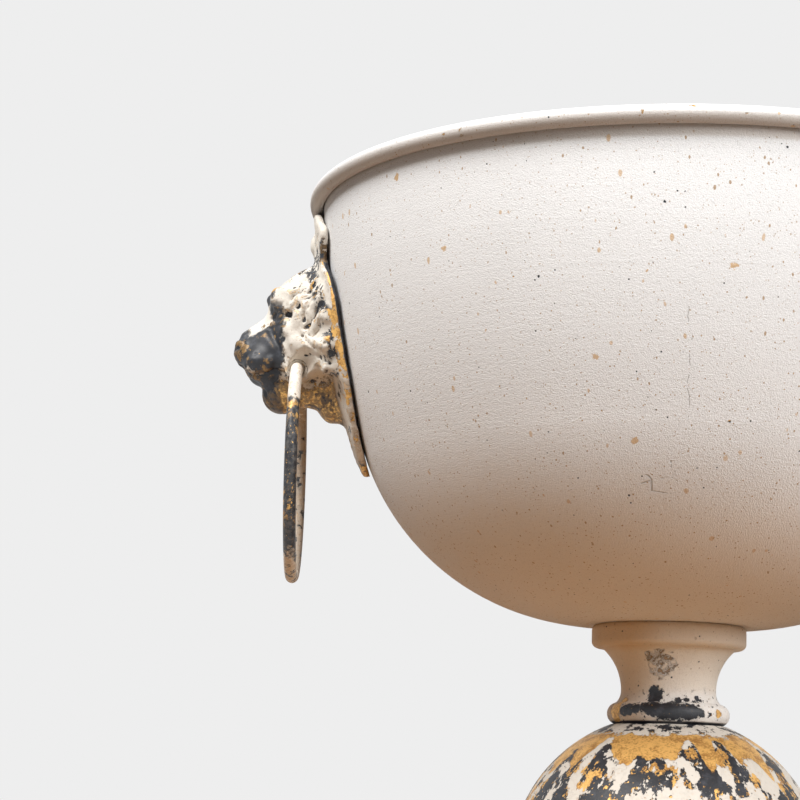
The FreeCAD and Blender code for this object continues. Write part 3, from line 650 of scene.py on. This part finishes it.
# Carving of the lion's face on the half towards +Y, mirrored to the other half: points as outward
# reach, sideways and height in millimetres, then the stroke's width and its depth (raised above 0).
FACE_STROKES = [
    # mouth, lip fold and the groove under the nose
    ([(183.5, 0.0, 224.0), (179.5, 6.0, 220.5), (172.0, 11.0, 218.5), (164.0, 14.0, 217.5)], 1.3, -2.0),
    ([(186.0, 0.0, 228.0), (183.5, 0.0, 224.5)], 0.9, -1.2),
    ([(177.0, 10.0, 224.5), (169.0, 14.0, 224.0)], 1.8, 0.7),
    # nostril and the wing round it
    ([(186.3, 3.6, 230.2), (184.2, 7.2, 231.3)], 1.1, -1.6),
    ([(185.5, 4.0, 234.2), (182.0, 8.2, 234.0), (181.5, 8.6, 230.5)], 1.0, 0.5),
    # eye: socket, ball and lids
    ([(168.0, 10.0, 243.8), (162.5, 16.5, 242.8)], 3.5, -3.0),
    ([(167.0, 12.0, 243.4), (165.4, 14.0, 243.2)], 1.8, 2.0),
    ([(170.5, 8.4, 244.6), (168.0, 12.0, 247.0), (163.0, 17.0, 245.4)], 1.0, 1.1),
    ([(169.5, 9.0, 242.0), (166.5, 13.0, 240.4), (162.5, 16.6, 241.4)], 0.9, 0.8),
    # brow folds and the furrow between them
    ([(173.0, 0.0, 249.5), (170.5, 0.0, 257.0), (163.0, 0.0, 263.5)], 1.4, -1.3),
    ([(172.0, 4.0, 252.5), (168.0, 11.0, 254.0), (160.0, 18.0, 252.5)], 1.7, 1.1),
    ([(168.0, 5.0, 258.5), (164.0, 12.0, 258.5)], 1.1, -0.8),
    # cheek folds beside the muzzle
    ([(171.0, 9.5, 239.0), (167.0, 13.5, 232.0), (164.5, 15.0, 226.0)], 1.6, -1.5),
    ([(163.5, 16.5, 238.0), (160.0, 18.5, 231.5)], 2.4, 1.2),
    ([(158.0, 20.5, 246.0), (155.0, 22.5, 238.0)], 1.6, -1.0),
    # ear hollow
    ([(154.0, 23.0, 253.0), (152.6, 25.0, 255.5)], 1.7, -1.8),
    # tuft of the chin
    ([(174.0, 1.6, 212.5), (170.0, 2.0, 206.0)], 0.8, -0.9),
    ([(172.5, 4.8, 212.5), (168.5, 5.0, 206.5)], 0.8, -0.9),
    ([(169.0, 7.6, 213.0), (165.5, 7.6, 207.0)], 0.8, -0.8),
    # whisker pits
    ([(181.0, 6.0, 226.8)], 0.6, -0.6),
    ([(179.0, 9.0, 226.0)], 0.6, -0.6),
    ([(178.5, 9.0, 223.0)], 0.6, -0.6),
    ([(175.5, 12.0, 226.5)], 0.6, -0.6),
]
STROKE_STEP = 2.0
# How far in and out the strokes may push together, in millimetres.
STROKE_LIMITS = (-3.2, 2.4)
# The mane's strands fan out to both sides of straight up, in degrees, from an oval round the head: its level
# and its two radii. Lengths are in millimetres.
MANE_STRANDS = 26
MANE_FAN = 128.0
MANE_CENTRE = (234.0, 18.0, 16.0)
MANE_RUN = 17.0
MANE_SHARES = (0.0, 0.35, 0.7, 1.0)
# Sideways wave of a strand: degrees, and how fast it turns along the strand.
MANE_WAVE = 7.0
MANE_WAVE_TURN = 3.0
# Height off the wall at the head, how much less it is at the tips, and the width and depths of the grooves.
MANE_STAND = 11.5
MANE_FALL = 6.5
MANE_WIDTH = 1.1
MANE_DEPTHS = (-0.6, -0.9)
# Reach of the bowl's wall behind a mask: at the level, then its slope and its bend per millimetre.
WALL_LEVEL = 232.0
WALL_CURVE = (142.3, 0.243, -0.00164)
# Spots nearer than this, in metres, are joined; a length that stands for none in a division.
WELD = 2e-6
TINY = 1e-9
# Rounds of smoothing while the creases are filled and after it; rounds and gain of the ridge values.
SWELL_ROUNDS = 3
LAST_ROUNDS = 5
RIDGE_ROUNDS = 3
RIDGE_GAIN = 1.6
# The creases are filled from this far off the ring's hinge, and fully after this much more.
HINGE_CLEAR = 7.0 * MM
HINGE_FADE = 6.0 * MM
# Thick paint: fineness of its lumps and dabs, their shares of the height, and how far it sinks between them.
LUMP_FINENESS = 170.0
DAB_FINENESS = 95.0
LUMP_SHARE = 0.55
DAB_SHARE = 0.75
PAINT_SINK = 0.25
# The paint thins out on the face: outward reach and run in millimetres, and the share that is gone.
FACE_REACH = 163.0
FACE_RUN = 6.0
FACE_THINNED = 0.85
# The plate's edge faces sideways and is near the wall, in millimetres.
EDGE_GAIN = 2.5
EDGE_START = 1.25
EDGE_STAND = 5.5
CENTIMETRE = 10.0
# Room for a ring: from the pin's inner end on, and past the cheek with a flare, over a run to the side.
PIN_END = 7.5 * MM
CHEEK = 15.2 * MM
CHEEK_ROOM = 1.3 * MM
CHEEK_FLARE = 0.62
CHEEK_RUN = 13.0 * MM


def wall_reach(height):
    """Radius of the bowl at a height, both in millimetres."""
    rise = height - WALL_LEVEL
    return WALL_CURVE[0] + WALL_CURVE[1] * rise + WALL_CURVE[2] * rise * rise


def both_sides(strokes):
    """The strokes and, where they leave the middle, their mirror images."""
    mirrored = [([(out, -across, up) for out, across, up in path], width, depth)
                for path, width, depth in strokes if any(point[1] for point in path)]
    return strokes + mirrored


def mane_strokes():
    """Wavy strands that fan out from the head over the locks of the mane."""
    level, across, up = MANE_CENTRE
    strokes = []
    for strand in range(MANE_STRANDS):
        angle = MANE_FAN * (2 * strand / (MANE_STRANDS - 1) - 1)
        points = []
        for share in MANE_SHARES:
            turn = math.radians(angle + MANE_WAVE * math.sin(MANE_WAVE_TURN * share + strand))
            run = MANE_RUN * share
            height = level + (up + run) * math.cos(turn)
            reach = wall_reach(height) + MANE_STAND - MANE_FALL * share
            points.append((reach, (across + run) * math.sin(turn), height))
        strokes.append((points, MANE_WIDTH, MANE_DEPTHS[strand % 2]))
    return strokes


def laid_on(tree, path):
    """The path with points between its own, each moved to the nearest spot of the carving."""
    path = [Vector(point) for point in path]
    points = path[:1]
    for start, end in zip(path[:-1], path[1:]):
        count = math.ceil((end - start).length / STROKE_STEP)
        points += [start.lerp(end, (step + 1) / count) for step in range(count)]
    return [tuple(tree.find(point)[0]) for point in points]


def away_from_path(spots, path):
    """Distance of each spot from a path of straight runs."""
    path = np.array(path, float)
    if len(path) == 1:
        return np.linalg.norm(spots - path[0], axis=1)
    best = np.full(len(spots), np.inf)
    for start, end in zip(path[:-1], path[1:]):
        run = end - start
        share = np.clip(((spots - start) @ run) / max(run @ run, TINY), 0.0, 1.0)
        best = np.minimum(best, np.linalg.norm(spots - start - share[:, None] * run, axis=1))
    return best


def mesh_arrays(mesh):
    """Places and normals of a mesh's spots."""
    spots = np.zeros(len(mesh.vertices) * 3)
    mesh.vertices.foreach_get("co", spots)
    normals = np.zeros(len(mesh.vertices) * 3)
    mesh.vertices.foreach_get("normal", normals)
    return spots.reshape(-1, 3), normals.reshape(-1, 3)


def set_spots(mesh, spots):
    """Move a mesh's spots to new places."""
    mesh.vertices.foreach_set("co", np.asarray(spots, np.float32).ravel())
    mesh.update()


def remeshed(obj, grain, rounds):
    """The object's mesh made even by a voxel remesh and some smoothing."""
    even = obj.modifiers.new("even", "REMESH")
    even.mode = "VOXEL"
    even.voxel_size = grain
    soft = obj.modifiers.new("soft", "SMOOTH")
    soft.factor = 0.5
    soft.iterations = rounds
    bpy.context.view_layer.update()
    graph = bpy.context.evaluated_depsgraph_get()
    mesh = bpy.data.meshes.new_from_object(obj.evaluated_get(graph))
    obj.modifiers.clear()
    obj.data = mesh
    return mesh


def ridge_values(mesh, spots, normals):
    """How far each spot stands out from its neighbours: 0 in a hollow, 1 on a ridge."""
    pairs = np.zeros(len(mesh.edges) * 2, np.int64)
    mesh.edges.foreach_get("vertices", pairs)
    pairs = pairs.reshape(-1, 2)
    count = np.bincount(pairs.ravel(), minlength=len(spots)).clip(1)
    value = spots
    for _ in range(RIDGE_ROUNDS):
        total = np.zeros_like(spots)
        np.add.at(total, pairs[:, 0], value[pairs[:, 1]])
        np.add.at(total, pairs[:, 1], value[pairs[:, 0]])
        value = total / count[:, None]
    proud = ((spots - value) * normals).sum(1) / MM
    return np.clip(0.5 + proud * RIDGE_GAIN, 0.0, 1.0)


def add_values(mesh, name, values):
    """Keep a value for each spot, for the mask's paint to read."""
    layer = mesh.attributes.new(name, "FLOAT", "POINT")
    layer.data.foreach_set("value", np.asarray(values, np.float32))


def hinge_of(ring):
    """Half the wire's thickness, and the hinge axis as x and z, from the ring's box."""
    low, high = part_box(ring)
    wire = (high.x - low.x) / 2
    return wire, np.array([(low.x + high.x) / 2, high.z - wire])


def rounded(obj, ring, grain, fillet):
    """Fill the creases between the forms: swell, make even and shrink back, but not at the ring's hinge."""
    axis = hinge_of(ring)[1]
    for way in (1, -1):
        mesh = remeshed(obj, grain, SWELL_ROUNDS)
        spots, normals = mesh_arrays(mesh)
        away = np.linalg.norm(spots[:, [0, 2]] - axis, axis=1)
        free = np.clip((away - HINGE_CLEAR) / HINGE_FADE, 0.0, 1.0)
        set_spots(mesh, spots + normals * (way * fillet * free)[:, None])
    return remeshed(obj, grain, LAST_ROUNDS)


def local_spots(spots, sign):
    """Spots in millimetres, with the first measure outward on either mask."""
    return np.stack([sign * spots[:, 0], spots[:, 1], spots[:, 2]], 1) / MM


def cut_strokes(mesh, strokes, sign):
    """Push the mesh in or out along each stroke."""
    spots, normals = mesh_arrays(mesh)
    local = local_spots(spots, sign)
    tree = KDTree(len(local))
    for index, spot in enumerate(local):
        tree.insert(spot, index)
    tree.balance()
    push = np.zeros(len(spots))
    for path, width, depth in strokes:
        push += depth * np.exp(-(away_from_path(local, laid_on(tree, path)) / width) ** 2)
    set_spots(mesh, spots + normals * np.clip(push, *STROKE_LIMITS)[:, None] * MM)


def thick_paint(spots, sign):
    """Small lumps and broad dabs of thick paint at each spot; the two masks differ."""
    lump_start = Vector((sign * 7.0, 3.0, 1.0))
    dab_start = Vector((2.0, sign * 5.0, 4.0))
    lumps = [noise.fractal(Vector(spot) * LUMP_FINENESS + lump_start, 0.9, 2.1, 4) for spot in spots]
    dabs = [noise.noise(Vector(spot) * DAB_FINENESS + dab_start) for spot in spots]
    return np.array(lumps), np.array(dabs)


def carve_mask(node, ring, sign):
    """A lion mask carved over its blank, with thick paint lumps and room for its ring."""
    sizes = settings()[1]
    blank = bmesh.new()
    blank.from_mesh(NODES[node].data)
    bmesh.ops.remove_doubles(blank, verts=blank.verts, dist=WELD)
    mesh = bpy.data.meshes.new(node + "_carved")
    blank.to_mesh(mesh)
    blank.free()
    obj = bpy.data.objects.new(node + "_carved", mesh)
    bpy.context.scene.collection.objects.link(obj)
    mesh = rounded(obj, ring, sizes.grain, sizes.fillet)
    cut_strokes(mesh, both_sides(FACE_STROKES), sign)
    cut_strokes(mesh, mane_strokes(), sign)
    spots, normals = mesh_arrays(mesh)
    lumps, dabs = thick_paint(spots, sign)
    local = local_spots(spots, sign)
    face = 1.0 - np.clip((local[:, 0] - FACE_REACH) / FACE_RUN, 0.0, 1.0) * FACE_THINNED
    thick = np.clip(0.5 + dabs, 0.0, 1.0) * face
    edge = np.clip(np.abs(normals[:, 1]) * EDGE_GAIN - EDGE_START, 0.0, 1.0)
    stand = np.hypot(local[:, 0], local[:, 1]) - wall_reach(local[:, 2])
    paint = (LUMP_SHARE * lumps + DAB_SHARE * thick - PAINT_SINK) * face * sizes.lump
    set_spots(mesh, clear_of_ring(spots + normals * paint[:, None], ring, sizes.bore_room))
    spots, normals = mesh_arrays(mesh)
    add_values(mesh, "ridge", ridge_values(mesh, spots, normals))
    add_values(mesh, "thick", thick)
    add_values(mesh, "edge", edge * (stand < EDGE_STAND))
    add_values(mesh, "stand", np.clip(stand / CENTIMETRE, 0.0, 1.0))
    mesh.polygons.foreach_set("use_smooth", [True] * len(mesh.polygons))
    return obj


def clear_of_ring(spots, ring, room):
    """Keep the carving out of the ring's bore and of the hollow that the ring swings in."""
    wire, axis = hinge_of(ring)
    flat = spots[:, [0, 2]] - axis
    away = np.linalg.norm(flat, axis=1).clip(TINY)
    across = np.abs(spots[:, 1])
    need = np.where(across > PIN_END, wire + room, 0.0)
    need = np.where(across > CHEEK, wire + CHEEK_ROOM + (across - CHEEK) * CHEEK_FLARE, need)
    need = np.where(across > CHEEK + CHEEK_RUN, 0.0, need)
    inside = away < need
    moved = axis + flat * (need / away)[:, None]
    spots = spots.copy()
    spots[inside, 0] = moved[inside, 0]
    spots[inside, 2] = moved[inside, 1]
    return spots


class FLOWERPOT_OT_carve_masks(bpy.types.Operator):
    """Carve and paint the two lion masks"""

    bl_idname = "flowerpot.carve_masks"
    bl_label = "Carve Lion Masks"

    def execute(self, context):
        material = paint_material("mask_worn", mask_coat)
        for node, ring, sign in (("lion_mask_left", "ring_left", -1), ("lion_mask_right", "ring_right", 1)):
            mask = carve_mask(node, ring, sign)
            mask.data.materials.clear()
            mask.data.materials.append(material)
            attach(mask, "pot")
            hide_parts(node)
        return {"FINISHED"}


class FLOWERPOT_OT_paint_rings(bpy.types.Operator):
    """Paint the two hanging rings"""

    bl_idname = "flowerpot.paint_rings"
    bl_label = "Paint Rings"

    def execute(self, context):
        material = paint_material("ring_worn", ring_coat)
        dress("ring_left", material)
        dress("ring_right", material)
        return {"FINISHED"}


# Where the photo was taken from, in metres, and the camera's turns in degrees.
CAMERA_PLACE = (-0.11287, -0.96082, 0.04554)
CAMERA_YAW = -0.12
CAMERA_PITCH = 9.8
CAMERA_ROLL = 1.69
CAMERA_SENSOR = 36.0
# Lamps: where they stand and what they point at, their width across in metres, and their colours.
LAMP_AIM = (0.0, 0.0, 0.20)
KEY_PLACE = (1.25, -1.40, 1.12)
KEY_WIDTH = 1.5
KEY_COLOUR = (1.0, 1.0, 1.0)
FILL_PLACE = (-1.05, -0.85, 1.95)
FILL_WIDTH = 1.4
FILL_COLOUR = (1.0, 0.98, 0.96)
# The floor's half width, its squares, and where its near colour passes into the far one, in metres.
FLOOR_REACH = 2.4
FLOOR_SQUARES = 24
FLOOR_NEAR = (0.20, 0.60)


def add_camera(lens):
    """A camera that stands and looks as the photo's did."""
    turns = (CAMERA_YAW, CAMERA_PITCH, CAMERA_ROLL)
    yaw, pitch, roll = (math.radians(turn) for turn in turns)
    ahead = Vector((math.sin(yaw) * math.cos(pitch), math.cos(yaw) * math.cos(pitch), math.sin(pitch)))
    level = Vector((math.cos(yaw), -math.sin(yaw), 0.0))
    rise = level.cross(ahead)
    right = math.cos(roll) * level + math.sin(roll) * rise
    up = math.cos(roll) * rise - math.sin(roll) * level
    camera = bpy.data.cameras.new("view")
    camera.lens = lens
    camera.sensor_width = CAMERA_SENSOR
    camera.clip_start = 0.01
    obj = bpy.data.objects.new("view", camera)
    bpy.context.scene.collection.objects.link(obj)
    turn = Matrix((right, up, -ahead)).transposed().to_4x4()
    obj.matrix_world = Matrix.Translation(CAMERA_PLACE) @ turn
    bpy.context.scene.camera = obj


def add_lamp(name, place, width, power, colour):
    """A round soft lamp that points at the pot."""
    lamp = bpy.data.lights.new(name, "AREA")
    lamp.shape = "DISK"
    lamp.size = width
    lamp.energy = power
    lamp.color = colour
    obj = bpy.data.objects.new(name, lamp)
    bpy.context.scene.collection.objects.link(obj)
    obj.location = place
    obj.rotation_mode = "QUATERNION"
    obj.rotation_quaternion = (Vector(LAMP_AIM) - Vector(place)).to_track_quat("-Z", "Y")


def seen_directly(shade):
    """1 for what the camera sees straight or through gloss and glass."""
    path = shade.node("ShaderNodeLightPath", None, None, "Is Camera Ray")
    return path.most(path.other("Is Glossy Ray")).most(path.other("Is Transmission Ray"))


def add_floor(stage):
    """A floor that the camera sees as backdrop and that throws up warm light near the pot."""
    sheet = bmesh.new()
    bmesh.ops.create_grid(sheet, x_segments=FLOOR_SQUARES, y_segments=FLOOR_SQUARES, size=FLOOR_REACH)
    mesh = bpy.data.meshes.new("floor")
    sheet.to_mesh(mesh)
    sheet.free()
    floor = bpy.data.objects.new("floor", mesh)
    bpy.context.scene.collection.objects.link(floor)
    material = bpy.data.materials.new("floor_matte")
    material.use_nodes = True
    tree = material.node_tree
    tree.nodes.clear()
    start = Shade(tree)
    place = start.node("ShaderNodeTexCoord", None, None, "Object")
    away = place.vector("DISTANCE", (0.0, 0.0, 0.0)).step(*FLOOR_NEAR)
    thrown = away.mix(rgb(stage.floor_warmth), rgb(stage.floor_grey))
    colour = seen_directly(start).mix(thrown, rgb(stage.backdrop))
    shader = start.node("ShaderNodeBsdfPrincipled", None, {
        "Base Color": colour, "Roughness": 1.0, "Specular IOR Level": 0.0,
    })
    start.node("ShaderNodeOutputMaterial", None, {"Surface": shader})
    mesh.materials.append(material)


def add_sky(stage):
    """Even light from all round, which the camera sees as backdrop."""
    world = bpy.data.worlds.new("soft_room")
    bpy.context.scene.world = world
    world.use_nodes = True
    tree = world.node_tree
    tree.nodes.clear()
    start = Shade(tree)
    seen = seen_directly(start)
    colour = seen.mix((1.0, 1.0, 1.0, 1.0), rgb(stage.backdrop))
    strength = seen * (1.0 - stage.sky) + stage.sky
    light = start.node("ShaderNodeBackground", None, {"Color": colour, "Strength": strength})
    start.node("ShaderNodeOutputWorld", None, {"Surface": light})


class FLOWERPOT_OT_set_stage(bpy.types.Operator):
    """Set the floor, the soft light and the camera"""

    bl_idname = "flowerpot.set_stage"
    bl_label = "Set Stage"

    def execute(self, context):
        stage = settings()[2]
        add_floor(stage)
        add_sky(stage)
        add_lamp("key", KEY_PLACE, KEY_WIDTH, stage.key, KEY_COLOUR)
        add_lamp("fill", FILL_PLACE, FILL_WIDTH, stage.fill, FILL_COLOUR)
        add_camera(stage.lens)
        context.scene.view_settings.view_transform = "Standard"
        return {"FINISHED"}


class FLOWERPOT_PT_panel(bpy.types.Panel):
    """Steps that dress the flowerpot, in order"""

    bl_label = "Flowerpot"
    bl_idname = "FLOWERPOT_PT_panel"
    bl_space_type = "VIEW_3D"
    bl_region_type = "UI"
    bl_category = "Flowerpot"

    def draw(self, context):
        for step in STEPS:
            self.layout.operator(step.bl_idname)
        for group in settings():
            for name in group.bl_rna.properties.keys():
                if name not in ("rna_type", "name"):
                    self.layout.prop(group, name)


STEPS = (
    FLOWERPOT_OT_paint_pot,
    FLOWERPOT_OT_finish_fixings,
    FLOWERPOT_OT_carve_masks,
    FLOWERPOT_OT_paint_rings,
    FLOWERPOT_OT_set_stage,
)
GROUPS = {"flowerpot_paint": PaintColours, "flowerpot_mask": MaskSizes, "flowerpot_stage": StageSettings}


def register():
    for group in GROUPS.values():
        bpy.utils.register_class(group)
    for name, group in GROUPS.items():
        setattr(bpy.types.Scene, name, PointerProperty(type=group))
    for step in STEPS:
        bpy.utils.register_class(step)
    bpy.utils.register_class(FLOWERPOT_PT_panel)


def unregister():
    bpy.utils.unregister_class(FLOWERPOT_PT_panel)
    for step in reversed(STEPS):
        bpy.utils.unregister_class(step)
    for name, group in GROUPS.items():
        delattr(bpy.types.Scene, name)
        bpy.utils.unregister_class(group)


def main():
    register()
    bpy.ops.flowerpot.paint_pot()
    bpy.ops.flowerpot.finish_fixings()
    bpy.ops.flowerpot.carve_masks()
    bpy.ops.flowerpot.paint_rings()
    bpy.ops.flowerpot.set_stage()


if __name__ == "__main__":
    main()
